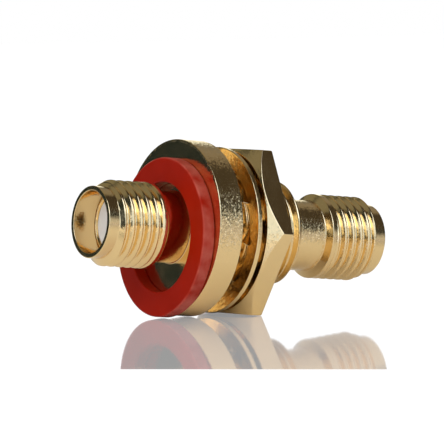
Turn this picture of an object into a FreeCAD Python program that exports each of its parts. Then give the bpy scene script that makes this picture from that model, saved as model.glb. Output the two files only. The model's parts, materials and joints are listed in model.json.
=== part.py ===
import FreeCAD, Part
import math
import os

# Coaxial adapter with a jack at each end, for mounting through a panel. Sizes are in millimetres.
# The axis lies along +X, from the front jack to the rear jack.
# The origin is on the axis, in the plane of the flange's panel face.
# +Z is square to the nut's top flat. Threads are cylinders of the thread's outer radius.

# Jacks, with the same section at both ends
jack_thread_radius = 3.175
jack_tip_radius = 2.65
jack_tip_length = 0.9
jack_lead_length = 0.35
jack_runout_length = 0.25
front_thread_length = 3.5
rear_thread_length = 3.9
front_neck_length = 2.07
rear_neck_length = 2.84
neck_radius = 2.65
tip_chamfer = 0.1

# Mouths of the jacks and the bore that joins them
mouth_radius = 2.3
mouth_depth = 1.95
mouth_chamfer = 0.08
insulator_bore_radius = 2.05

# Flange and panel thread
flange_radius = 6.5
flange_thickness = 2.0
flange_chamfer = 0.08
panel_thread_radius = 3.97
panel_thread_length = 7.28
panel_thread_chamfer = 0.2

# Insulators, pushed into the body from each end
insulator_clearance = 0.01

# Centre contact, a socket at both ends with a collar between the insulators
contact_radius = 0.635
contact_socket_radius = 0.47
contact_socket_depth = 3.2
contact_entry_chamfer = 0.08
contact_slot_width = 0.14
contact_slot_length = 2.6
contact_collar_radius = 1.1
contact_collar_thickness = 0.6
contact_clearance = 0.015

# Hex nut, chamfered on the side of the flange
nut_face_x = 2.415
nut_thickness = 1.7
nut_across_flats = 12.2
nut_chamfer_inset = 0.08
nut_chamfer_angle = 39.0
nut_bore_clearance = 0.05
nut_countersink = 0.25

# Lock washer with twisted internal teeth, sized by the panel thread
washer_rim_width = 1.16
washer_thickness = 0.45
washer_nut_clearance = 0.02
tooth_count = 10
tooth_length = 0.83
tooth_thickness = 0.4
tooth_root_width = 2.1
tooth_shoulder_width = 1.9
tooth_tip_width = 1.5
tooth_shoulder_drop = 0.32
tooth_twist = 30.0
tooth_thread_clearance = 0.2
tooth_root_overlap = 0.03

# Panel gasket, loose on the front neck and a little smaller than the flange
gasket_inset = 0.61
gasket_thickness = 1.0
gasket_thread_clearance = 0.08
gasket_edge_chamfer = 0.12
gasket_floor_clearance = 0.02

# Radii of the washer, which follow the panel thread, and of the gasket, which follows the flange
tooth_tip_radius = panel_thread_radius + tooth_thread_clearance
washer_rim_inner_radius = tooth_tip_radius + tooth_length
washer_radius = washer_rim_inner_radius + washer_rim_width
gasket_radius = flange_radius - gasket_inset

# Places along the axis
front_jack_length = (jack_tip_length + jack_lead_length + front_thread_length
                     + jack_runout_length + front_neck_length)
rear_jack_length = (jack_tip_length + jack_lead_length + rear_thread_length
                    + jack_runout_length + rear_neck_length)
flange_front_x = -flange_thickness
front_mouth_x = flange_front_x - front_jack_length
rear_mouth_x = panel_thread_length + rear_jack_length
front_insulator_face_x = front_mouth_x + mouth_depth
rear_insulator_face_x = rear_mouth_x - mouth_depth
middle_x = (front_insulator_face_x + rear_insulator_face_x) / 2

# The adapter rests on the flange's edge and on the far edge of the nut's lowest flat.
# The gasket stands on the same surface, so it hangs below the axis by this much.
nut_back_x = nut_face_x + nut_thickness
rest_slope = (flange_radius - nut_across_flats / 2) / nut_back_x
floor_depth_at_gasket = flange_radius + flange_thickness * rest_slope
gasket_drop = floor_depth_at_gasket - gasket_floor_clearance - gasket_radius

# The washer's teeth reach back to the nut
tooth_reach = (tooth_shoulder_width / 2 * math.sin(math.radians(tooth_twist))
               + tooth_thickness / 2 * math.cos(math.radians(tooth_twist)))
washer_centre_x = nut_face_x - washer_nut_clearance - tooth_reach

X_AXIS = FreeCAD.Vector(1, 0, 0)
CENTRE = FreeCAD.Vector(0, 0, 0)


def turned(section):
    """Solid of revolution about the axis, from (x, radius) corners in order."""
    corners = [FreeCAD.Vector(x, 0, radius) for x, radius in section]
    face = Part.Face(Part.makePolygon(corners + corners[:1]))
    return face.revolve(CENTRE, X_AXIS, 360)


def rod(start_x, end_x, radius):
    """Plain cylinder on the axis."""
    return Part.makeCylinder(radius, end_x - start_x, FreeCAD.Vector(start_x, 0, 0), X_AXIS)


def jack_outline(thread_length):
    """Outside of a jack from its rim to its neck, as (distance from the mouth, radius)."""
    lead_start = jack_tip_length
    thread_start = lead_start + jack_lead_length
    thread_end = thread_start + thread_length
    return [
        (0, mouth_radius + mouth_chamfer),
        (0, jack_tip_radius - tip_chamfer),
        (tip_chamfer, jack_tip_radius),
        (lead_start, jack_tip_radius),
        (thread_start, jack_thread_radius),
        (thread_end, jack_thread_radius),
        (thread_end + jack_runout_length, neck_radius),
    ]


def mouth_outline():
    """Inside of a jack from the insulator's bore to its rim, as (distance from the mouth, radius)."""
    return [
        (mouth_depth, insulator_bore_radius),
        (mouth_depth, mouth_radius),
        (mouth_chamfer, mouth_radius),
    ]


def adapter_body():
    """One turned piece: front jack, flange, panel thread and rear jack, bored right through."""
    front = [(front_mouth_x + d, r) for d, r in jack_outline(front_thread_length)]
    flange = [
        (flange_front_x, neck_radius),
        (flange_front_x, flange_radius - flange_chamfer),
        (flange_front_x + flange_chamfer, flange_radius),
        (-flange_chamfer, flange_radius),
        (0, flange_radius - flange_chamfer),
    ]
    panel_thread = [
        (0, panel_thread_radius),
        (panel_thread_length - panel_thread_chamfer, panel_thread_radius),
        (panel_thread_length, panel_thread_radius - panel_thread_chamfer),
        (panel_thread_length, neck_radius),
    ]
    rear = [(rear_mouth_x - d, r) for d, r in reversed(jack_outline(rear_thread_length))]
    rear_mouth = [(rear_mouth_x - d, r) for d, r in reversed(mouth_outline())]
    front_mouth = [(front_mouth_x + d, r) for d, r in mouth_outline()]
    return turned(front + flange + panel_thread + rear + rear_mouth + front_mouth)


def insulator(start_x, end_x):
    """Sleeve that fills the body's bore round the contact."""
    sleeve = rod(start_x, end_x, insulator_bore_radius - insulator_clearance)
    return sleeve.cut(rod(start_x, end_x, contact_radius + contact_clearance))


def front_insulator():
    """Sleeve from the front shoulder to the contact's collar."""
    return insulator(front_insulator_face_x, middle_x - contact_collar_thickness / 2)


def rear_insulator():
    """Sleeve from the rear shoulder to the front one, with a recess that holds the collar."""
    start_x = middle_x - contact_collar_thickness / 2
    recess_end_x = start_x + contact_collar_thickness + contact_clearance
    sleeve = insulator(start_x, rear_insulator_face_x)
    return sleeve.cut(rod(start_x, recess_end_x, contact_collar_radius + contact_clearance))


def center_contact():
    """Turned pin with a slotted socket at both ends and a collar in the middle."""
    contact = rod(front_insulator_face_x, rear_insulator_face_x, contact_radius)
    collar_start_x = middle_x - contact_collar_thickness / 2
    collar = rod(collar_start_x, collar_start_x + contact_collar_thickness, contact_collar_radius)
    contact = contact.fuse(collar)
    for face_x, inward in ((front_insulator_face_x, 1), (rear_insulator_face_x, -1)):
        contact = contact.cut(socket_hollow(face_x, inward))
    return contact.removeSplitter()


def socket_hollow(face_x, inward):
    """Bore, entry chamfer and crossed slots of one socket, cut inward from its face."""
    hollow = turned([
        (face_x, 0),
        (face_x, contact_socket_radius + contact_entry_chamfer),
        (face_x + inward * contact_entry_chamfer, contact_socket_radius),
        (face_x + inward * contact_socket_depth, contact_socket_radius),
        (face_x + inward * (contact_socket_depth + contact_socket_radius / 2), 0),
    ])
    span = 2 * contact_collar_radius
    low_x = min(face_x, face_x + inward * contact_slot_length)
    for width_y, width_z in ((span, contact_slot_width), (contact_slot_width, span)):
        corner = FreeCAD.Vector(low_x, -width_y / 2, -width_z / 2)
        hollow = hollow.fuse(Part.makeBox(contact_slot_length, width_y, width_z, corner))
    return hollow


def hex_nut():
    """Hexagon with two flats level, turned to a cone on the side of the flange."""
    corner_radius = nut_across_flats / 2 / math.cos(math.radians(30))
    corners = []
    for step in range(6):
        angle = math.radians(60 * step)
        corners.append(FreeCAD.Vector(nut_face_x, corner_radius * math.cos(angle),
                                      corner_radius * math.sin(angle)))
    hexagon = Part.Face(Part.makePolygon(corners + corners[:1]))
    prism = hexagon.extrude(FreeCAD.Vector(nut_thickness, 0, 0))
    chamfer_radius = nut_across_flats / 2 - nut_chamfer_inset
    outer_radius = corner_radius + nut_chamfer_inset
    chamfer_length = (outer_radius - chamfer_radius) * math.tan(math.radians(nut_chamfer_angle))
    cone = turned([
        (nut_face_x, 0),
        (nut_face_x, chamfer_radius),
        (nut_face_x + chamfer_length, outer_radius),
        (nut_back_x, outer_radius),
        (nut_back_x, 0),
    ])
    bore_radius = panel_thread_radius + nut_bore_clearance
    bore = turned([
        (nut_face_x, 0),
        (nut_face_x, bore_radius + nut_countersink),
        (nut_face_x + nut_countersink, bore_radius),
        (nut_back_x - nut_countersink, bore_radius),
        (nut_back_x, bore_radius + nut_countersink),
        (nut_back_x, 0),
    ])
    return prism.common(cone).cut(bore)


def tooth_section(distance, width, twist):
    """Rectangle across the tooth at a distance from the axis, twisted about the tooth's own line."""
    half_width = width / 2
    half_thickness = tooth_thickness / 2
    cosine = math.cos(math.radians(twist))
    sine = math.sin(math.radians(twist))
    corners = []
    for across, along in ((-1, -1), (1, -1), (1, 1), (-1, 1)):
        side = across * half_width
        rise = along * half_thickness
        corners.append(FreeCAD.Vector(washer_centre_x + rise * cosine + side * sine,
                                      side * cosine - rise * sine, distance))
    return Part.makePolygon(corners + corners[:1])


def lock_washer():
    """Flat rim with teeth that point inward, each twisted so that its edges bite both faces."""
    rim_start_x = washer_centre_x - washer_thickness / 2
    rim_end_x = washer_centre_x + washer_thickness / 2
    washer = rod(rim_start_x, rim_end_x, washer_radius)
    washer = washer.cut(rod(rim_start_x, rim_end_x, washer_rim_inner_radius))
    sections = [
        tooth_section(washer_rim_inner_radius + tooth_root_overlap, tooth_root_width, 0),
        tooth_section(washer_rim_inner_radius - tooth_shoulder_drop, tooth_shoulder_width, tooth_twist),
        tooth_section(tooth_tip_radius, tooth_tip_width, tooth_twist),
    ]
    tooth = Part.makeLoft(sections, True, True)
    teeth = []
    for step in range(tooth_count):
        copy = tooth.copy()
        copy.rotate(CENTRE, X_AXIS, 360 * (step + 0.5) / tooth_count)
        teeth.append(copy)
    return washer.multiFuse(teeth)


def panel_gasket():
    """Flat rubber ring with its edges broken, standing below the axis against the flange."""
    bore_radius = panel_thread_radius + gasket_thread_clearance
    ring = rod(flange_front_x - gasket_thickness, flange_front_x, gasket_radius)
    ring = ring.cut(rod(flange_front_x - gasket_thickness, flange_front_x, bore_radius))
    rims = [edge for edge in ring.Edges if isinstance(edge.Curve, Part.Circle)]
    ring = ring.makeChamfer(gasket_edge_chamfer, rims)
    ring.translate(FreeCAD.Vector(0, 0, -gasket_drop))
    return ring


PIECES = {
    "adapter_body": adapter_body,
    "front_insulator": front_insulator,
    "rear_insulator": rear_insulator,
    "center_contact": center_contact,
    "panel_gasket": panel_gasket,
    "lock_washer": lock_washer,
    "hex_nut": hex_nut,
}


def main():
    os.makedirs("parts", exist_ok=True)
    for node, make in PIECES.items():
        shape = make()
        if not shape.isValid() or len(shape.Solids) != 1:
            raise RuntimeError(node + " is not one valid solid")
        shape.Solids[0].exportStep("parts/" + node + ".step")
        box = shape.BoundBox
        print(node, "volume", round(shape.Volume, 3), "x", round(box.XMin, 3), round(box.XMax, 3),
              "z", round(box.ZMin, 3), round(box.ZMax, 3))


main()
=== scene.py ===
"""Coaxial adapter for a panel, laid out as a Blender add-on and run as a script.

Everything is in metres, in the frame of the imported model: the axis lies along +X from the front jack to the
rear jack, and the origin is on the axis in the plane of the flange's panel face.
"""
import json
import math

import bmesh
import bpy
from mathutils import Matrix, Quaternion, Vector


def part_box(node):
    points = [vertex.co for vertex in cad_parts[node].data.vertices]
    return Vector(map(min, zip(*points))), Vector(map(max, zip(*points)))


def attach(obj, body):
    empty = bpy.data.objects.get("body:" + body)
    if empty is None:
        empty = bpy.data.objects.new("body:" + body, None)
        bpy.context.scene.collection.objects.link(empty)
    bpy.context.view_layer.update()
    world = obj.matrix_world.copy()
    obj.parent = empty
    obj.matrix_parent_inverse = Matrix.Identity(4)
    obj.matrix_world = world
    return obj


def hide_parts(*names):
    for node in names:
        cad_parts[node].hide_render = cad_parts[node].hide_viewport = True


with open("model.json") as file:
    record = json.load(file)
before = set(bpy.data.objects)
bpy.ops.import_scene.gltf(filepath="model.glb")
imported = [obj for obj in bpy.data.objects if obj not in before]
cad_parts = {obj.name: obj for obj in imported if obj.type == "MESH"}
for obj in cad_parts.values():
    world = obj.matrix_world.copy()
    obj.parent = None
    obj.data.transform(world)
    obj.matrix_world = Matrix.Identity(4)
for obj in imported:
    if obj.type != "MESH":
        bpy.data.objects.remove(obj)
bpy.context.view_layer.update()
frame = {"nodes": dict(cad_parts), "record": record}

bl_info = {
    "name": "Coaxial adapter",
    "version": (1, 0, 0),
    "blender": (4, 5, 0),
    "location": "View3D > Sidebar > Adapter",
    "description": "Gold plated coaxial adapter with its nut, lock washer and gasket",
    "category": "Object",
}

MM = 0.001
MOUNTS = {mount["name"]: mount for mount in frame["record"]["mounts"]}

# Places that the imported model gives
BODY_LOW, BODY_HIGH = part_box("adapter_body")
GASKET_LOW, GASKET_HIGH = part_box("panel_gasket")
WASHER_LOW, WASHER_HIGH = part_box("lock_washer")
NUT_LOW, NUT_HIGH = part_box("hex_nut")
FRONT_MOUTH_X = BODY_LOW.x
REAR_MOUTH_X = BODY_HIGH.x
FLANGE_RADIUS = BODY_HIGH.z
FLANGE_FRONT_X = GASKET_HIGH.x

# Columns round the turned surfaces
COLUMNS = 160

# Form of a thread, as shares of its pitch
THREAD_DEPTH = 0.613
HALF_CREST = 1 / 16
CREST_ROUND = 0.05
ROOT_ROUND = 0.12
ROW_SPACING = 0.18
FLANK_ANGLE = math.radians(30)

# Details of the turned body
GROOVE_FADE_LENGTH = 0.3 * MM
PANEL_RELIEF_DEPTH = 0.02 * MM
PANEL_CHAMFER_SLOPE = 1.2

# A ring this near a sharp edge keeps the blend of the normals to a thin line
SUPPORT = 0.04 * MM

# Points nearer than this become one
MERGE_DISTANCE = 0.0004 * MM

# The hexagon, and how finely its sides and corners are drawn
HALF_SIDE_ANGLE = math.radians(30)
FLAT_STEPS = 10
CORNER_STEPS = 4

# A tooth of the washer: how far it starts behind the rim, where its twist starts, how finely that is drawn
TOOTH_OVERLAP = 0.3 * MM
TWIST_START = 0.03 * MM
TWIST_STEPS = 6

# Grain of the gold: the knocks are drawn larger than real ones, so that they show
KNOCK_SIZE = 0.095 * MM
KNOCKED_RIM_RADIUS = 6.3 * MM
KNOCK_DULLING = 0.35
LATHE_LINE_SPACING = 0.09 * MM
WEAR_PATCH_SIZE = 1.6 * MM

# Grain of the rubber and of the insulators
SKIN_GRAIN_SIZE = 0.12 * MM
SKIN_GRAIN_DEPTH = 0.004 * MM
CLOUD_SIZE = 2.2 * MM
# Soft patches of the paler cut edge, partly frost and partly a painted highlight
PALE_EDGE_PATCH_SIZE = 1.4 * MM
PALE_EDGE_START_DEPTH = 0.16 * MM
PALE_EDGE_FULL_DEPTH = 0.02 * MM
TOOL_RING_SPACING = 0.12 * MM
TOOL_RING_DEPTH = 0.004 * MM

# The white boards: their own glow, and its share against the light that falls on them
BOARD_GLOW = 1.13
BOARD_GLOW_SHARE = 0.8

# The floor, and the polished sheet on it, whose front edge runs across the view
FLOOR_REACH = 2500 * MM
FLOOR_DROP = 0.02 * MM
SHEET_HALF_WIDTH = 1500 * MM
SHEET_DEPTH = 2000 * MM
SHEET_FRONT_DISTANCE = 44.3 * MM
DIAGONAL = 0.7071

# The soft lamp and the camera's film
LAMP_DIRECTION = (-0.75, -0.6, 0.4)
LAMP_DISTANCE = 220 * MM
LAMP_SIZE = 160 * MM
LAMP_POWER = 0.24
FILM_WIDTH = 36
NEAREST_SEEN = 1 * MM


def linear_colour(hex_colour):
    """An sRGB hex value as linear red, green, blue and alpha."""
    channels = []
    for start in (0, 2, 4):
        value = int(hex_colour[start:start + 2], 16) / 255
        channels.append(value / 12.92 if value <= 0.04045 else ((value + 0.055) / 1.055) ** 2.4)
    return (*channels, 1.0)


def length(name, description, millimetres):
    """A size that a user may change, in metres."""
    return bpy.props.FloatProperty(name=name, description=description, default=millimetres * MM,
                                   unit="LENGTH", subtype="DISTANCE", precision=5)


def colour(name, description, hex_colour):
    """A colour that a user may change."""
    return bpy.props.FloatVectorProperty(name=name, description=description, size=4, subtype="COLOR",
                                         default=linear_colour(hex_colour), min=0, max=1)


def share(name, description, value):
    """A plain number from 0 to 1 that a user may change."""
    return bpy.props.FloatProperty(name=name, description=description, default=value, min=0, max=1)


class BodySizes(bpy.types.PropertyGroup):
    """Sizes of the turned body."""

    jack_tip_radius: length("Tip radius", "Radius of the smooth tip in front of a jack's thread", 2.65)
    jack_tip_length: length("Tip length", "Length of the smooth tip", 0.9)
    jack_lead_length: length("Lead length", "Length of the cone that leads into the thread", 0.35)
    jack_runout_length: length("Runout length", "Length of the cone from the thread to the neck", 0.35)
    jack_band_length: length("Band length", "Plain band between the last groove and the runout", 0.3)
    jack_pitch: length("Jack pitch", "Distance from crest to crest on the jacks", 0.7056)
    thread_phase: share("Thread phase", "Where round the axis the jack's grooves start", 0.78)
    groove_depth: share("Groove depth", "Depth of a jack's grooves against a full 60 degree thread", 0.8)
    neck_radius: length("Neck radius", "Radius of both necks", 2.65)
    mouth_depth: length("Mouth depth", "Depth from the rim to the insulator", 1.95)
    insulator_bore_radius: length("Bore radius", "Radius of the bore that holds the insulators", 2.05)
    panel_thread_radius: length("Panel thread radius", "Crest radius of the panel thread", 3.97)
    panel_thread_length: length("Panel thread length", "Length of the panel thread", 7.28)
    panel_pitch: length("Panel pitch", "Distance from crest to crest on the panel thread", 0.79375)
    edge_round: length("Edge round", "Radius of the broken edges", 0.07)
    fillet: length("Fillet", "Radius of the inner corners", 0.1)
    shoulder_round: length("Shoulder round", "Radius where the mouth meets the insulator", 0.2)


class NutSizes(bpy.types.PropertyGroup):
    """Sizes of the hex nut."""

    bore_radius: length("Bore radius", "Radius of the nut's bore", 4.02)
    countersink: length("Countersink", "Depth of the countersink on both faces", 0.25)
    chamfer_inset: length("Chamfer inset", "How far inside the flats the chamfer starts", 0.08)
    chamfer_angle: bpy.props.FloatProperty(name="Chamfer angle", description="Slope of the chamfer",
                                           default=math.radians(39), subtype="ANGLE")
    corner_round: length("Corner round", "Radius of the six corners", 0.14)
    edge_round: length("Edge round", "Radius of the other edges", 0.1)


class WasherSizes(bpy.types.PropertyGroup):
    """Sizes of the lock washer."""

    teeth: bpy.props.IntProperty(name="Teeth", description="Number of twisted teeth", default=10, min=3)
    thickness: length("Thickness", "Thickness of the rim", 0.36)
    rim_inner_radius: length("Rim inner radius", "Radius where the teeth leave the rim", 5.0)
    tip_radius: length("Tip radius", "Radius of the tooth tips", 4.17)
    tooth_thickness: length("Tooth thickness", "Thickness of a tooth", 0.34)
    root_width: length("Root width", "Width of a tooth at the rim", 2.1)
    shoulder_width: length("Shoulder width", "Width of a tooth where its twist ends", 1.9)
    tip_width: length("Tip width", "Width of a tooth at its tip", 1.5)
    shoulder_drop: length("Shoulder drop", "Distance over which the tooth twists", 0.32)
    twist: bpy.props.FloatProperty(name="Twist", description="Twist of a tooth about its own line",
                                   default=math.radians(30), subtype="ANGLE")
    edge_round: length("Edge round", "Radius of the stamped edges", 0.06)


class GasketSizes(bpy.types.PropertyGroup):
    """Sizes of the rubber gasket."""

    bore_radius: length("Bore radius", "Radius of the hole", 4.05)
    edge_round: length("Edge round", "Radius of the edges", 0.14)


class Finishes(bpy.types.PropertyGroup):
    """Colours of the object and its ground."""

    gold: colour("Gold", "Gold plating over brass", "F6D598")
    rubber: colour("Rubber", "Red silicone rubber", "981600")
    # The cut edge's paler colour is partly frost and partly a painted highlight of the front light
    cut_edge_frost_and_highlight: colour("Cut rubber", "The paler edge where the sheet was cut", "C46C5C")
    fluoropolymer: colour("Fluoropolymer", "White insulator", "DEDCDA")
    floor: colour("Floor", "Pale floor", "F4F4F4")
    flange_roughness: share("Flange roughness", "Roughness of the polished parts", 0.14)
    satin_roughness: share("Satin roughness", "Roughness of the tumbled parts", 0.17)
    contact_roughness: share("Contact roughness", "Roughness of the centre contact", 0.12)


class CameraPlace(bpy.types.PropertyGroup):
    """Where the camera stands."""

    azimuth: bpy.props.FloatProperty(name="Azimuth", description="Turn of the view about +Z",
                                     default=math.radians(-33.48), subtype="ANGLE")
    elevation: bpy.props.FloatProperty(name="Elevation", description="Height of the view over the axis",
                                       default=math.radians(-0.15), subtype="ANGLE")
    roll: bpy.props.FloatProperty(name="Roll", description="Tilt of the camera",
                                  default=math.radians(3.65), subtype="ANGLE")
    distance: length("Distance", "From the camera to the middle of the view", 300)
    target: bpy.props.FloatVectorProperty(name="Target", description="Middle of the view", size=3,
                                          default=(-1.1 * MM, -5.3 * MM, 0.6 * MM), subtype="TRANSLATION")
    lens: bpy.props.FloatProperty(name="Lens", description="Focal length in millimetres", default=334.6)


def rounded(corners, steps=4):
    """Open outline through (x, radius, rounding) corners, with each corner turned to a small arc."""
    points = [corners[0][:2]]
    for before, corner, after in zip(corners, corners[1:], corners[2:]):
        here = Vector(corner[:2])
        back = Vector(before[:2]) - here
        ahead = Vector(after[:2]) - here
        half_turn = back.angle(ahead) / 2
        reach = min(corner[2] / math.tan(half_turn), 0.48 * back.length, 0.48 * ahead.length)
        if reach < 1e-8:
            points.append(tuple(here))
            continue
        start = here + back.normalized() * reach
        end = here + ahead.normalized() * reach
        for step in range(steps + 1):
            t = step / steps
            points.append(tuple(start * (1 - t) ** 2 + here * (2 * t * (1 - t)) + end * t ** 2))
    points.append(corners[-1][:2])
    return points


def ring(x, radius):
    """Points of one circle about the axis."""
    turns = [2 * math.pi * column / COLUMNS for column in range(COLUMNS)]
    return [Vector((x, radius * math.cos(turn), radius * math.sin(turn))) for turn in turns]


def add_rows(mesh, rows, closed=False):
    """Quads between rows of points that each go once round. Closed rows also join the last to the first."""
    made = [[mesh.verts.new(point) for point in row] for row in rows]
    pairs = list(zip(made, made[1:]))
    if closed:
        pairs.append((made[-1], made[0]))
    for low, high in pairs:
        count = len(low)
        for column in range(count):
            after = (column + 1) % count
            mesh.faces.new((low[column], low[after], high[after], high[column]))
    return made


def thread_period(pitch):
    """One pitch of a 60 degree thread as (share of the pitch, drop below the crest) points."""
    depth = THREAD_DEPTH * pitch
    flank = depth * math.tan(FLANK_ANGLE)
    half_crest = HALF_CREST * pitch
    root_start = half_crest + flank
    crest_round = CREST_ROUND * pitch
    root_round = ROOT_ROUND * pitch
    corners = [
        (-half_crest - flank, -depth, root_round),
        (-half_crest, 0, crest_round),
        (half_crest, 0, crest_round),
        (root_start, -depth, root_round),
        (pitch - root_start, -depth, root_round),
        (pitch - half_crest, 0, crest_round),
    ]
    coarse = rounded(corners, steps=3)

    # Long stretches get rows between, so that the shading follows them
    outline = [coarse[0]]
    for before, after in zip(coarse, coarse[1:]):
        steps = max(1, round((Vector(after) - Vector(before)).length / (ROW_SPACING * pitch)))
        outline += [tuple(Vector(before).lerp(Vector(after), step / steps)) for step in range(1, steps + 1)]

    # One whole period, from just past the start of a crest
    first = -half_crest + 0.03 * pitch
    return [((x / pitch) % 1, -drop) for x, drop in outline if first <= x < first + pitch]


def add_thread(mesh, start_x, end_x, pitch, surface, phase=0.0):
    """Right-handed thread whose rows follow its helix. surface gives the radius at a place and a drop."""
    period = sorted(thread_period(pitch))
    turns = (end_x - start_x) / pitch + 1
    rows = []
    for whole in range(-1, math.ceil(turns) + 2):
        for part, drop in period:
            climb = whole + part + phase
            if 0 < climb < turns:
                rows.append((climb, drop))
    rows = [(0.0, 0.0)] + rows + [(turns, 0.0)]

    def point(climb, drop, column):
        x = start_x + (climb - 1 + column / COLUMNS) * pitch
        x = min(max(x, start_x), end_x)
        radius = surface(x, drop)
        turn = 2 * math.pi * column / COLUMNS
        return Vector((x, radius * math.cos(turn), radius * math.sin(turn)))

    made = [[mesh.verts.new(point(climb, drop, column)) for column in range(COLUMNS)]
            for climb, drop in rows]
    seam = [mesh.verts.new(point(climb, drop, COLUMNS)) for climb, drop in rows]
    for low in range(len(rows) - 1):
        high = low + 1
        for column in range(COLUMNS):
            last = column == COLUMNS - 1
            low_after = seam[low] if last else made[low][column + 1]
            high_after = seam[high] if last else made[high][column + 1]
            mesh.faces.new((made[low][column], low_after, high_after, made[high][column]))


def settle_normals(mesh):
    """Large faces keep their own direction and the small rounds blend between them."""
    total = [Vector() for _ in mesh.vertices]
    for face in mesh.polygons:
        weighted = face.normal * (face.area * 1e6)
        for corner in face.vertices:
            total[corner] += weighted
    mesh.normals_split_custom_set_from_vertices([normal.normalized() for normal in total])


def add_piece(name, shape, material, body, node):
    """Makes an object of a finished shape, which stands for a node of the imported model."""
    bmesh.ops.remove_doubles(shape, verts=shape.verts, dist=MERGE_DISTANCE)
    bmesh.ops.recalc_face_normals(shape, faces=shape.faces)
    mesh = bpy.data.meshes.new(name)
    shape.to_mesh(mesh)
    shape.free()
    mesh.materials.append(material)
    mesh.shade_smooth()
    settle_normals(mesh)
    piece = bpy.data.objects.new(name, mesh)
    bpy.context.scene.collection.objects.link(piece)
    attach(piece, body)
    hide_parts(node)
    return piece


def add_node(tree, kind, sockets=None, **settings):
    """Adds one node with its settings. A socket's value is a number, a colour or another node's output."""
    made = tree.nodes.new(kind)
    for name, value in settings.items():
        setattr(made, name, value)
    for name, value in (sockets or {}).items():
        if isinstance(value, bpy.types.NodeSocket):
            tree.links.new(value, made.inputs[name])
        else:
            made.inputs[name].default_value = value
    return made


def new_material(name):
    """An empty node material with its output."""
    material = bpy.data.materials.new(name)
    material.use_nodes = True
    tree = material.node_tree
    tree.nodes.clear()
    return material, tree, tree.nodes.new("ShaderNodeOutputMaterial")


def gold_plated_brass(name, roughness, tilt, line_depth, knocked_tilt=0.0, knocked_neck=(0.0, 0.0)):
    """Brass turned or stamped, then plated with hard gold: a warm yellow mirror that the tumbling before
    the plating leaves slightly grained, with faint lathe lines round the axis."""
    finishes = bpy.context.scene.adapter_finishes
    material, tree, output = new_material(name)
    place = add_node(tree, "ShaderNodeTexCoord").outputs["Object"]

    # Small knocks of the tumbling, each tilted its own way
    facets = add_node(tree, "ShaderNodeTexVoronoi", {"Vector": place, "Scale": 1 / KNOCK_SIZE})
    lean = add_node(tree, "ShaderNodeVectorMath", {0: facets.outputs["Color"], 1: (0.5, 0.5, 0.5)},
                    operation="SUBTRACT")

    # Lathe lines: noise that changes along the axis and with the radius, and not round the axis
    parts = add_node(tree, "ShaderNodeSeparateXYZ", {"Vector": place})
    across = add_node(tree, "ShaderNodeCombineXYZ", {"X": parts.outputs["Y"], "Y": parts.outputs["Z"]})
    radius = add_node(tree, "ShaderNodeVectorMath", {0: across.outputs["Vector"]}, operation="LENGTH")
    turned = add_node(tree, "ShaderNodeCombineXYZ",
                      {"X": parts.outputs["X"], "Y": radius.outputs["Value"]})
    lines = add_node(tree, "ShaderNodeTexNoise",
                     {"Vector": turned.outputs["Vector"], "Scale": 1 / LATHE_LINE_SPACING,
                      "Detail": 1.0})
    bump_lines = add_node(tree, "ShaderNodeBump",
                          {"Height": lines.outputs["Fac"], "Strength": 1.0, "Distance": line_depth})

    # Wear and handling leave soft patches where the shine differs
    patches = add_node(tree, "ShaderNodeTexNoise",
                       {"Vector": place, "Scale": 1 / WEAR_PATCH_SIZE, "Detail": 3.0})
    shine = add_node(tree, "ShaderNodeMapRange",
                     {"Value": patches.outputs["Fac"], "From Min": 0.3, "From Max": 0.7,
                      "To Min": roughness * 0.8, "To Max": roughness * 1.25})

    # The flange's rim and the rear neck took more of the knocks than the rest
    on_rim = add_node(tree, "ShaderNodeMath", {0: radius.outputs["Value"], 1: KNOCKED_RIM_RADIUS},
                      operation="GREATER_THAN")
    past_start = add_node(tree, "ShaderNodeMath", {0: parts.outputs["X"], 1: knocked_neck[0]},
                          operation="GREATER_THAN")
    before_end = add_node(tree, "ShaderNodeMath", {0: parts.outputs["X"], 1: knocked_neck[1]},
                          operation="LESS_THAN")
    on_neck = add_node(tree, "ShaderNodeMath",
                       {0: past_start.outputs["Value"], 1: before_end.outputs["Value"]},
                       operation="MULTIPLY")
    knocked = add_node(tree, "ShaderNodeMath",
                       {0: on_rim.outputs["Value"], 1: on_neck.outputs["Value"]}, operation="MAXIMUM")
    strength = add_node(tree, "ShaderNodeMapRange",
                        {"Value": knocked.outputs["Value"], "To Min": tilt, "To Max": tilt + knocked_tilt})
    dulled = add_node(tree, "ShaderNodeMath",
                      {0: knocked.outputs["Value"], 1: KNOCK_DULLING * knocked_tilt,
                       2: shine.outputs["Result"]}, operation="MULTIPLY_ADD")
    push = add_node(tree, "ShaderNodeVectorMath",
                    {0: lean.outputs["Vector"], "Scale": strength.outputs["Result"]}, operation="SCALE")
    leant = add_node(tree, "ShaderNodeVectorMath",
                     {0: bump_lines.outputs["Normal"], 1: push.outputs["Vector"]}, operation="ADD")
    normal = add_node(tree, "ShaderNodeVectorMath", {0: leant.outputs["Vector"]}, operation="NORMALIZE")
    surface = add_node(tree, "ShaderNodeBsdfPrincipled",
                       {"Base Color": finishes.gold, "Metallic": 1.0,
                        "Roughness": dulled.outputs["Value"], "Normal": normal.outputs["Vector"]})
    tree.links.new(surface.outputs["BSDF"], output.inputs["Surface"])
    return material


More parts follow.
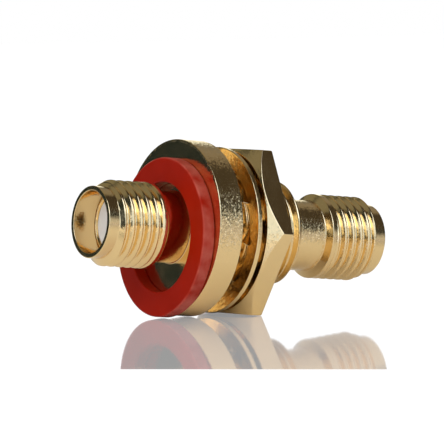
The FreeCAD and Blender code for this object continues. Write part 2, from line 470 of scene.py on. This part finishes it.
def cut_silicone_rubber(name, centre_z, cut_radius):
    """Silicone sheet, cut to a ring: deep red right through, a soft satin shine, and a paler cut edge,
    whose colour is partly frost and partly a painted highlight of the front light."""
    finishes = bpy.context.scene.adapter_finishes
    material, tree, output = new_material(name)
    place = add_node(tree, "ShaderNodeTexCoord").outputs["Object"]
    skin = add_node(tree, "ShaderNodeTexNoise",
                    {"Vector": place, "Scale": 1 / SKIN_GRAIN_SIZE, "Detail": 3.0, "Roughness": 0.6})
    cloud = add_node(tree, "ShaderNodeTexNoise", {"Vector": place, "Scale": 1 / CLOUD_SIZE, "Detail": 3.0})
    tone = add_node(tree, "ShaderNodeMapRange",
                    {"Value": cloud.outputs["Fac"], "From Min": 0.3, "From Max": 0.7,
                     "To Min": 0.92, "To Max": 1.06})
    tinted = add_node(tree, "ShaderNodeVectorMath",
                      {0: finishes.rubber[:3], "Scale": tone.outputs["Result"]}, operation="SCALE")

    # The cut edge is paler in soft patches: partly frost, partly a painted highlight of the front light
    parts = add_node(tree, "ShaderNodeSeparateXYZ", {"Vector": place})
    height = add_node(tree, "ShaderNodeMath", {0: parts.outputs["Z"], 1: centre_z}, operation="SUBTRACT")
    flat = add_node(tree, "ShaderNodeCombineXYZ",
                    {"Y": parts.outputs["Y"], "Z": height.outputs["Value"]}).outputs["Vector"]
    radius = add_node(tree, "ShaderNodeVectorMath", {0: flat}, operation="LENGTH")
    on_cut = add_node(tree, "ShaderNodeMapRange",
                      {"Value": radius.outputs["Value"], "From Min": cut_radius - PALE_EDGE_START_DEPTH,
                       "From Max": cut_radius - PALE_EDGE_FULL_DEPTH})
    frost_and_highlight_noise = add_node(tree, "ShaderNodeTexNoise",
                     {"Vector": place, "Scale": 1 / PALE_EDGE_PATCH_SIZE, "Detail": 3.0, "Roughness": 0.5})
    patchy = add_node(tree, "ShaderNodeMapRange",
                      {"Value": frost_and_highlight_noise.outputs["Fac"], "From Min": 0.3, "From Max": 0.75, "To Max": 0.7})
    frost_and_highlight_share = add_node(tree, "ShaderNodeMath",
                       {0: on_cut.outputs["Result"], 1: patchy.outputs["Result"]}, operation="MULTIPLY")
    shade = add_node(tree, "ShaderNodeMix",
                     {"Factor": frost_and_highlight_share.outputs["Value"], "A": tinted.outputs["Vector"],
                      "B": finishes.cut_edge_frost_and_highlight[:3]}, data_type="VECTOR")
    shine = add_node(tree, "ShaderNodeMapRange",
                     {"Value": cloud.outputs["Fac"], "From Min": 0.3, "From Max": 0.7,
                      "To Min": 0.36, "To Max": 0.5})
    bump = add_node(tree, "ShaderNodeBump",
                    {"Height": skin.outputs["Fac"], "Strength": 1.0, "Distance": SKIN_GRAIN_DEPTH})
    surface = add_node(tree, "ShaderNodeBsdfPrincipled",
                       {"Base Color": shade.outputs["Result"], "Roughness": shine.outputs["Result"],
                        "IOR": 1.41, "Specular IOR Level": 0.12, "Normal": bump.outputs["Normal"]})
    tree.links.new(surface.outputs["BSDF"], output.inputs["Surface"])
    return material


def turned_fluoropolymer(name):
    """Turned PTFE: waxy white, slightly see-through at the edges, with faint tool rings on its face."""
    finishes = bpy.context.scene.adapter_finishes
    material, tree, output = new_material(name)
    place = add_node(tree, "ShaderNodeTexCoord").outputs["Object"]
    parts = add_node(tree, "ShaderNodeSeparateXYZ", {"Vector": place})
    across = add_node(tree, "ShaderNodeCombineXYZ", {"X": parts.outputs["Y"], "Y": parts.outputs["Z"]})
    radius = add_node(tree, "ShaderNodeVectorMath", {0: across.outputs["Vector"]}, operation="LENGTH")
    rings = add_node(tree, "ShaderNodeTexNoise",
                     {"W": radius.outputs["Value"], "Scale": 1 / TOOL_RING_SPACING, "Detail": 1.0},
                     noise_dimensions="1D")
    bump = add_node(tree, "ShaderNodeBump",
                    {"Height": rings.outputs["Fac"], "Strength": 1.0, "Distance": TOOL_RING_DEPTH})
    surface = add_node(tree, "ShaderNodeBsdfPrincipled",
                       {"Base Color": finishes.fluoropolymer, "Roughness": 0.42, "IOR": 1.35,
                        "Subsurface Weight": 0.25, "Subsurface Scale": 0.3 * MM,
                        "Subsurface Radius": (1.0, 0.9, 0.85), "Normal": bump.outputs["Normal"]})
    tree.links.new(surface.outputs["BSDF"], output.inputs["Surface"])
    return material


def white_ground(name, polish):
    """White board, matt, or with a polish that shows the object upside down, more so at a low angle.
    It is one-sided, so a view from below its slope still shows the object."""
    finishes = bpy.context.scene.adapter_finishes
    material, tree, output = new_material(name)
    path = add_node(tree, "ShaderNodeLightPath")
    lit = add_node(tree, "ShaderNodeBsdfDiffuse", {"Color": finishes.floor})
    white = add_node(tree, "ShaderNodeEmission", {"Color": (1, 1, 1, 1), "Strength": BOARD_GLOW})
    shown = add_node(tree, "ShaderNodeMixShader",
                     {0: BOARD_GLOW_SHARE, 1: lit.outputs[0], 2: white.outputs[0]})
    base = add_node(tree, "ShaderNodeMixShader",
                    {0: path.outputs["Is Camera Ray"], 1: lit.outputs[0], 2: shown.outputs[0]})
    mirror = add_node(tree, "ShaderNodeBsdfAnisotropic", {"Color": (0.86, 0.85, 1, 1), "Roughness": 0.04})
    grazing = add_node(tree, "ShaderNodeLayerWeight", {"Blend": 0.22})
    gloss = add_node(tree, "ShaderNodeMapRange",
                     {"Value": grazing.outputs["Fresnel"], "From Min": 0.1, "From Max": 0.5,
                      "To Min": 0.03 * polish, "To Max": 0.7 * polish})
    top = add_node(tree, "ShaderNodeMixShader",
                   {0: gloss.outputs["Result"], 1: base.outputs[0], 2: mirror.outputs[0]})
    side = add_node(tree, "ShaderNodeNewGeometry")
    clear = add_node(tree, "ShaderNodeBsdfTransparent")
    both = add_node(tree, "ShaderNodeMixShader",
                    {0: side.outputs["Backfacing"], 1: top.outputs[0], 2: clear.outputs[0]})
    tree.links.new(both.outputs[0], output.inputs["Surface"])
    return material


def jack_corners(sizes, mouth_x, inward):
    """Smooth front end of a jack, from the insulator's shoulder out to the start of the thread."""
    mouth_radius = MOUNTS["front_mouth"]["dims"]["r_mm"] * MM
    edge = sizes.edge_round
    return [
        (mouth_x + inward * sizes.mouth_depth, sizes.insulator_bore_radius, 0),
        (mouth_x + inward * sizes.mouth_depth, mouth_radius, sizes.shoulder_round),
        (mouth_x, mouth_radius, edge),
        (mouth_x, sizes.jack_tip_radius, edge),
        (mouth_x + inward * (sizes.jack_tip_length - SUPPORT), sizes.jack_tip_radius, 0),
        (mouth_x + inward * sizes.jack_tip_length, sizes.jack_tip_radius, 0),
    ]


def jack_surface(sizes, mouth_x, inward, band_x):
    """Radius of a jack's thread: its lead cone cuts the crests, and its grooves fade at the band."""
    thread_radius = MOUNTS["front_jack_thread"]["dims"]["r_mm"] * MM
    lead_start = mouth_x + inward * sizes.jack_tip_length

    def surface(x, drop):
        along_lead = (x - lead_start) * inward / sizes.jack_lead_length
        cone = sizes.jack_tip_radius + (thread_radius - sizes.jack_tip_radius) * along_lead
        fade = min(max((band_x - x) * inward / GROOVE_FADE_LENGTH, 0), 1)
        return min(thread_radius - drop * fade * sizes.groove_depth, cone)

    return surface


class ADAPTER_OT_body(bpy.types.Operator):
    """Turned body with both jacks, the flange and the three threads"""

    bl_idname = "adapter.body"
    bl_label = "Adapter body"

    def execute(self, context):
        sizes = context.scene.adapter_body
        edge = sizes.edge_round
        thread_radius = MOUNTS["front_jack_thread"]["dims"]["r_mm"] * MM
        panel_root = sizes.panel_thread_radius - THREAD_DEPTH * sizes.panel_pitch - PANEL_RELIEF_DEPTH
        fillet = sizes.fillet
        shape = bmesh.new()

        # Both jacks: smooth end, thread, band, runout and neck
        lengths = {"front": MOUNTS["front_jack_thread"]["dims"]["length_mm"] * MM,
                   "rear": MOUNTS["rear_jack_thread"]["dims"]["length_mm"] * MM}
        for side, mouth_x, inward, neck_end_x in (("front", FRONT_MOUTH_X, 1, FLANGE_FRONT_X),
                                                  ("rear", REAR_MOUTH_X, -1, sizes.panel_thread_length)):
            lead_x = mouth_x + inward * sizes.jack_tip_length
            thread_end_x = lead_x + inward * (sizes.jack_lead_length + lengths[side])
            band_x = thread_end_x - inward * sizes.jack_band_length
            outline = rounded(jack_corners(sizes, mouth_x, inward))
            add_rows(shape, [ring(x, radius) for x, radius in outline])
            surface = jack_surface(sizes, mouth_x, inward, band_x)
            add_thread(shape, min(lead_x, band_x), max(lead_x, band_x), sizes.jack_pitch, surface,
                       phase=sizes.thread_phase)
            neck = [
                (band_x, thread_radius, 0),
                (band_x + inward * SUPPORT, thread_radius, 0),
                (thread_end_x, thread_radius, edge),
                (thread_end_x + inward * sizes.jack_runout_length, sizes.neck_radius, fillet),
                (neck_end_x, sizes.neck_radius, fillet),
            ]
            # The front neck runs out into the flange, the rear neck into the end of the panel thread
            if side == "front":
                neck += [
                    (FLANGE_FRONT_X, FLANGE_RADIUS, edge),
                    (0, FLANGE_RADIUS, edge),
                    (0, panel_root, fillet),
                    (fillet, panel_root, 0),
                ]
            else:
                neck += [
                    (sizes.panel_thread_length, panel_root, edge),
                    (sizes.panel_thread_length - fillet, panel_root, 0),
                ]
            add_rows(shape, [ring(x, radius) for x, radius in rounded(neck)])
        neck_high_x = thread_end_x - sizes.jack_runout_length

        # Panel thread, with a narrow relief at the flange and a chamfer at its far end
        def panel_surface(x, drop):
            rise = min(x - fillet, sizes.panel_thread_length - fillet - x) * PANEL_CHAMFER_SLOPE
            return min(sizes.panel_thread_radius - drop, panel_root + rise)

        add_thread(shape, fillet, sizes.panel_thread_length - fillet, sizes.panel_pitch, panel_surface)

        # Bore between the two shoulders
        add_rows(shape, [ring(FRONT_MOUTH_X + sizes.mouth_depth, sizes.insulator_bore_radius),
                         ring(REAR_MOUTH_X - sizes.mouth_depth, sizes.insulator_bore_radius)])
        finishes = context.scene.adapter_finishes
        gold = gold_plated_brass("hard_gold_turned", finishes.flange_roughness, tilt=0.04,
                                 line_depth=0.0004 * MM, knocked_tilt=0.13,
                                 knocked_neck=(sizes.panel_thread_length, neck_high_x))
        add_piece("adapter_shell", shape, gold, "adapter", "adapter_body")
        return {"FINISHED"}


class ADAPTER_OT_nut(bpy.types.Operator):
    """Hex nut, chamfered on the side of the flange"""

    bl_idname = "adapter.nut"
    bl_label = "Hex nut"

    def execute(self, context):
        sizes = context.scene.adapter_nut
        flat = NUT_HIGH.z
        face_x = NUT_LOW.x
        back_x = NUT_HIGH.x
        slope = math.tan(sizes.chamfer_angle)
        chamfer_radius = flat - sizes.chamfer_inset
        round_centre = (flat - sizes.corner_round) / math.cos(HALF_SIDE_ANGLE)
        round_start = math.atan((flat - sizes.corner_round) * math.tan(HALF_SIDE_ANGLE) / flat)

        def outer(turn):
            """Radius of the hexagon with rounded corners, at a turn from the middle of a flat."""
            turn = abs(turn)
            if turn <= round_start:
                return flat / math.cos(turn)
            away = HALF_SIDE_ANGLE - turn
            side = round_centre * math.sin(away)
            return round_centre * math.cos(away) + math.sqrt(sizes.corner_round ** 2 - side ** 2)

        half = [round_start * step / FLAT_STEPS for step in range(FLAT_STEPS + 1)]
        rest = HALF_SIDE_ANGLE - round_start
        half += [round_start + rest * step / CORNER_STEPS for step in range(1, CORNER_STEPS + 1)]
        side_turns = [-turn for turn in reversed(half[1:])] + half[:-1]
        columns = []
        for side in range(6):
            for turn in side_turns:
                columns.append((HALF_SIDE_ANGLE * (1 + 2 * side) + turn, outer(turn)))

        edge = sizes.edge_round
        sink_radius = sizes.bore_radius + sizes.countersink
        rows = []
        for angle, radius in columns:
            crescent_x = face_x + (radius - chamfer_radius) * slope
            outline = rounded([
                (face_x + sizes.countersink, sizes.bore_radius, 0),
                (face_x, sink_radius, edge / 2),
                (face_x, chamfer_radius, edge),
                (crescent_x, radius, edge),
                (back_x, radius, edge),
                (back_x, sink_radius, edge / 2),
                (back_x - sizes.countersink, sizes.bore_radius, 0),
            ])
            rows.append([Vector((x, r * math.cos(angle), r * math.sin(angle))) for x, r in outline])
        shape = bmesh.new()
        add_rows(shape, rows, closed=True)
        finishes = context.scene.adapter_finishes
        gold = gold_plated_brass("hard_gold_stamped", finishes.satin_roughness, tilt=0.08,
                                 line_depth=0.0004 * MM)
        add_piece("nut_hexagon", shape, gold, "nut", "hex_nut")
        return {"FINISHED"}


class ADAPTER_OT_washer(bpy.types.Operator):
    """Lock washer with twisted internal teeth"""

    bl_idname = "adapter.washer"
    bl_label = "Lock washer"

    def execute(self, context):
        sizes = context.scene.adapter_washer
        centre_x = (WASHER_LOW.x + WASHER_HIGH.x) / 2
        outer_radius = WASHER_HIGH.z
        half = sizes.thickness / 2
        edge = sizes.edge_round
        shape = bmesh.new()
        rim = rounded([
            (centre_x, sizes.rim_inner_radius, 0),
            (centre_x - half, sizes.rim_inner_radius, edge),
            (centre_x - half, outer_radius, edge),
            (centre_x + half, outer_radius, edge),
            (centre_x + half, sizes.rim_inner_radius, edge),
            (centre_x, sizes.rim_inner_radius, 0),
        ])
        add_rows(shape, [ring(x, radius) for x, radius in rim])

        # Stations along a tooth: distance from the axis, width and twist
        root = sizes.rim_inner_radius + TWIST_START
        shoulder = sizes.rim_inner_radius - sizes.shoulder_drop
        stations = [(root + TOOTH_OVERLAP, sizes.root_width, 0)]
        for step in range(TWIST_STEPS + 1):
            t = step / TWIST_STEPS
            ease = t * t * (3 - 2 * t)
            width = sizes.root_width + (sizes.shoulder_width - sizes.root_width) * t
            stations.append((root + (shoulder - root) * t, width, sizes.twist * ease))

        # The last three round the tip off
        stations.append((sizes.tip_radius + edge, sizes.tip_width, sizes.twist))
        stations.append((sizes.tip_radius + edge * 0.3, sizes.tip_width - edge * 0.6, sizes.twist))
        stations.append((sizes.tip_radius, sizes.tip_width - edge * 2, sizes.twist))
        for tooth in range(sizes.teeth):
            angle = 2 * math.pi * (tooth + 0.5) / sizes.teeth
            turn = Quaternion((1, 0, 0), angle)
            rows = []
            for place, width, twist in stations:
                narrowing = (sizes.tip_width - width) if place <= sizes.tip_radius + edge else 0
                thickness = sizes.tooth_thickness - max(narrowing, 0)
                rows.append(self.section(centre_x, place, width, thickness, twist, edge, turn))
            made = add_rows(shape, rows)
            shape.faces.new(made[0])
            shape.faces.new(made[-1])
        finishes = context.scene.adapter_finishes
        gold = gold_plated_brass("hard_gold_spring", finishes.satin_roughness, tilt=0.12,
                                 line_depth=0.0003 * MM)
        add_piece("washer_star", shape, gold, "washer", "lock_washer")
        return {"FINISHED"}

    @staticmethod
    def section(centre_x, place, width, thickness, twist, edge, turn):
        """Rounded rectangle across a tooth."""
        half_width = width / 2
        half_thickness = thickness / 2
        corners = [(-half_width, 0), (-half_width, -half_thickness), (half_width, -half_thickness),
                   (half_width, half_thickness), (-half_width, half_thickness), (-half_width, 0)]
        outline = rounded([(side, rise, edge) for side, rise in corners], steps=3)[:-1]
        points = []
        for side, rise in outline:
            x = centre_x + rise * math.cos(twist) + side * math.sin(twist)
            y = side * math.cos(twist) - rise * math.sin(twist)
            points.append(turn @ Vector((x, y, place)))
        return points


class ADAPTER_OT_gasket(bpy.types.Operator):
    """Flat rubber ring on the front neck"""

    bl_idname = "adapter.gasket"
    bl_label = "Panel gasket"

    def execute(self, context):
        sizes = context.scene.adapter_gasket
        drop = (GASKET_LOW.z + GASKET_HIGH.z) / 2
        outer_radius = (GASKET_HIGH.z - GASKET_LOW.z) / 2
        edge = sizes.edge_round
        middle_x = (GASKET_LOW.x + GASKET_HIGH.x) / 2
        outline = rounded([
            (middle_x, sizes.bore_radius, 0),
            (GASKET_LOW.x, sizes.bore_radius, edge),
            (GASKET_LOW.x, outer_radius, edge),
            (GASKET_HIGH.x, outer_radius, edge),
            (GASKET_HIGH.x, sizes.bore_radius, edge),
            (middle_x, sizes.bore_radius, 0),
        ], steps=6)
        shape = bmesh.new()
        add_rows(shape, [ring(x, radius) for x, radius in outline])
        bmesh.ops.translate(shape, verts=shape.verts, vec=(0, 0, drop))
        rubber = cut_silicone_rubber("silicone_rubber_cut", drop, outer_radius)
        add_piece("gasket_ring", shape, rubber, "adapter", "panel_gasket")
        return {"FINISHED"}


class ADAPTER_OT_core(bpy.types.Operator):
    """Finishes of the insulators and of the centre contact"""

    bl_idname = "adapter.core"
    bl_label = "Insulators and contact"

    def execute(self, context):
        white = turned_fluoropolymer("ptfe_turned")
        finishes = context.scene.adapter_finishes
        gold = gold_plated_brass("hard_gold_contact", finishes.contact_roughness, tilt=0.03,
                                 line_depth=0.001 * MM)
        for node, material in (("front_insulator", white), ("rear_insulator", white),
                               ("center_contact", gold)):
            for slot in frame["nodes"][node].material_slots:
                slot.material = material
        return {"FINISHED"}


# What metal sees round the object: direction, colour, the angles where it starts and stops fading, and
# the share of +X past which a straight edge cuts it off
STUDIO = {
    "backdrop": ((0.55, 0.83, 0.04), (1.24, 1.26, 1.08), 17, 27, 2),
    "front_softbox": ((0.55, -0.8, -0.25), (0.56, 0.58, 0.66), 17, 37, 2),
    "upper_softbox": ((0.3, -0.87, 0.39), (1.15, 1.45, 2.1), 18, 24, 0.4),
    "overhead_softbox": ((-0.2, -0.62, 0.76), (1.9, 2.3, 3.4), 18, 24, 0.1),
    "left_softbox": ((-0.74, -0.63, 0.24), (0.95, 1.15, 1.6), 26, 30, 2),
    "back_wall": ((-0.15, 0.82, 0.55), (0.19, 0.18, 0.13), 10, 22, 2),
    "left_ceiling": ((-0.66, 0.38, 0.65), (0.2, 0.19, 0.15), 12, 24, 2),
    "ceiling_patch": ((0.55, 0.42, 0.72), (0.19, 0.18, 0.16), 10, 24, 2),
    "top_panel": ((-0.08, 0.25, 0.96), (0.24, 0.2, 0.12), 12, 24, 2),
    "warm_wall": ((0.3, -0.1, 0.95), (0.035, 0.018, 0.004), 35, 62, 2),
}
STUDIO_EDGE_FADE = 0.03
DARK_ROOM = (0.016, 0.026, 0.032)
SOFT_LIGHT = 0.62


def studio_world():
    """White to the camera, soft and even to rough surfaces, and a small studio to metal."""
    world = bpy.data.worlds.new("studio")
    world.use_nodes = True
    tree = world.node_tree
    tree.nodes.clear()
    direction = add_node(tree, "ShaderNodeTexCoord").outputs["Generated"]
    seen = add_node(tree, "ShaderNodeCombineXYZ",
                    {"X": DARK_ROOM[0], "Y": DARK_ROOM[1], "Z": DARK_ROOM[2]}).outputs["Vector"]
    across = add_node(tree, "ShaderNodeSeparateXYZ", {"Vector": direction}).outputs["X"]
    for axis, lamp, inner, outer, edge in STUDIO.values():
        facing = add_node(tree, "ShaderNodeVectorMath",
                          {0: direction, 1: Vector(axis).normalized()}, operation="DOT_PRODUCT")
        weight = add_node(tree, "ShaderNodeMapRange",
                          {"Value": facing.outputs["Value"], "From Min": math.cos(math.radians(outer)),
                           "From Max": math.cos(math.radians(inner))}, interpolation_type="SMOOTHSTEP")
        uncut = add_node(tree, "ShaderNodeMapRange",
                         {"Value": across, "From Min": edge + STUDIO_EDGE_FADE, "From Max": edge},
                         interpolation_type="SMOOTHSTEP")
        share_seen = add_node(tree, "ShaderNodeMath",
                              {0: weight.outputs["Result"], 1: uncut.outputs["Result"]},
                              operation="MULTIPLY")
        glow = add_node(tree, "ShaderNodeVectorMath",
                        {0: lamp, "Scale": share_seen.outputs["Value"]}, operation="SCALE")
        seen = add_node(tree, "ShaderNodeVectorMath", {0: seen, 1: glow.outputs["Vector"]},
                        operation="ADD").outputs["Vector"]
    path = add_node(tree, "ShaderNodeLightPath")
    soft = add_node(tree, "ShaderNodeBackground", {"Color": (1, 1, 1, 1), "Strength": SOFT_LIGHT})
    metal = add_node(tree, "ShaderNodeBackground", {"Color": seen, "Strength": 1.0})
    white = add_node(tree, "ShaderNodeBackground", {"Color": (1, 1, 1, 1), "Strength": 1.0})
    lighting = add_node(tree, "ShaderNodeMixShader",
                        {0: path.outputs["Is Glossy Ray"], 1: soft.outputs[0], 2: metal.outputs[0]})
    open_path = add_node(tree, "ShaderNodeMath", {0: path.outputs["Is Camera Ray"],
                                                  1: path.outputs["Is Transmission Ray"]},
                         operation="MAXIMUM")
    shown = add_node(tree, "ShaderNodeMixShader",
                     {0: open_path.outputs[0], 1: lighting.outputs[0], 2: white.outputs[0]})
    output = add_node(tree, "ShaderNodeOutputWorld", {"Surface": shown.outputs[0]})
    return world


def view_quaternion(place):
    """Turn of the camera, and the direction it looks in."""
    level = math.cos(place.elevation)
    forward = Vector((-math.sin(place.azimuth) * level, math.cos(place.azimuth) * level,
                      -math.sin(place.elevation)))
    return forward.to_track_quat("-Z", "Y") @ Quaternion((0, 0, 1), place.roll), forward


class ADAPTER_OT_stage(bpy.types.Operator):
    """Floor, light and camera"""

    bl_idname = "adapter.stage"
    bl_label = "Stage"

    def execute(self, context):
        scene = context.scene
        scene.view_settings.view_transform = "Standard"
        scene.world = studio_world()

        # The floor touches the flange's back edge and the far edge of the nut's lowest flat
        slope = (FLANGE_RADIUS - NUT_HIGH.z) / NUT_HIGH.x
        square = ((-FLOOR_REACH, -FLOOR_REACH), (FLOOR_REACH, -FLOOR_REACH),
                  (FLOOR_REACH, FLOOR_REACH), (-FLOOR_REACH, FLOOR_REACH))
        self.board("ground", square, slope, -FLOOR_DROP, white_ground("white_board_matt", 0.0))

        # A polished sheet lies on it, whose front edge runs just in front of the object
        edge = Vector((DIAGONAL, -DIAGONAL)) * SHEET_HALF_WIDTH
        depth = Vector((DIAGONAL, DIAGONAL)) * SHEET_DEPTH
        front = Vector((-DIAGONAL, -DIAGONAL)) * SHEET_FRONT_DISTANCE
        sheet = (front - edge, front + edge, front + edge + depth, front - edge + depth)
        self.board("acrylic_sheet", sheet, slope, 0, white_ground("white_acrylic_polished", 1.0))

        # One soft lamp gives the rubber and the insulator their shape
        lamp_data = bpy.data.lights.new("key_softbox", "AREA")
        lamp_data.shape = "DISK"
        lamp_data.size = LAMP_SIZE
        lamp_data.energy = LAMP_POWER
        lamp = bpy.data.objects.new("key_softbox", lamp_data)
        lamp.location = Vector(LAMP_DIRECTION).normalized() * LAMP_DISTANCE
        lamp.rotation_mode = "QUATERNION"
        lamp.rotation_quaternion = (-lamp.location).to_track_quat("-Z", "Y")
        lamp.visible_glossy = False
        scene.collection.objects.link(lamp)

        place = scene.adapter_camera
        turn, forward = view_quaternion(place)
        camera_data = bpy.data.cameras.new("camera")
        camera_data.lens = place.lens
        camera_data.sensor_width = FILM_WIDTH
        camera_data.clip_start = NEAREST_SEEN
        camera = bpy.data.objects.new("camera", camera_data)
        camera.location = Vector(place.target) - forward * place.distance
        camera.rotation_mode = "QUATERNION"
        camera.rotation_quaternion = turn
        scene.collection.objects.link(camera)
        scene.camera = camera
        return {"FINISHED"}

    @staticmethod
    def board(name, outline, slope, lift, material):
        """Flat board in the plane on which the object rests."""
        shape = bmesh.new()
        shape.faces.new([shape.verts.new((x, y, -FLANGE_RADIUS + x * slope + lift)) for x, y in outline])
        mesh = bpy.data.meshes.new(name)
        shape.to_mesh(mesh)
        shape.free()
        mesh.materials.append(material)
        board = bpy.data.objects.new(name, mesh)
        bpy.context.scene.collection.objects.link(board)


class ADAPTER_PT_panel(bpy.types.Panel):
    """Lists the pieces of the adapter"""

    bl_idname = "ADAPTER_PT_panel"
    bl_label = "Coaxial adapter"
    bl_space_type = "VIEW_3D"
    bl_region_type = "UI"
    bl_category = "Adapter"

    def draw(self, context):
        for operator in OPERATORS:
            self.layout.operator(operator.bl_idname)


GROUPS = {
    "adapter_body": BodySizes,
    "adapter_nut": NutSizes,
    "adapter_washer": WasherSizes,
    "adapter_gasket": GasketSizes,
    "adapter_finishes": Finishes,
    "adapter_camera": CameraPlace,
}
OPERATORS = (ADAPTER_OT_body, ADAPTER_OT_gasket, ADAPTER_OT_washer, ADAPTER_OT_nut, ADAPTER_OT_core,
             ADAPTER_OT_stage)


def register():
    for name, group in GROUPS.items():
        bpy.utils.register_class(group)
        setattr(bpy.types.Scene, name, bpy.props.PointerProperty(type=group))
    for operator in OPERATORS:
        bpy.utils.register_class(operator)
    bpy.utils.register_class(ADAPTER_PT_panel)


def unregister():
    bpy.utils.unregister_class(ADAPTER_PT_panel)
    for operator in reversed(OPERATORS):
        bpy.utils.unregister_class(operator)
    for name, group in GROUPS.items():
        delattr(bpy.types.Scene, name)
        bpy.utils.unregister_class(group)


def main():
    register()
    bpy.ops.adapter.body()
    bpy.ops.adapter.gasket()
    bpy.ops.adapter.washer()
    bpy.ops.adapter.nut()
    bpy.ops.adapter.core()
    bpy.ops.adapter.stage()


if __name__ == "__main__":
    main()
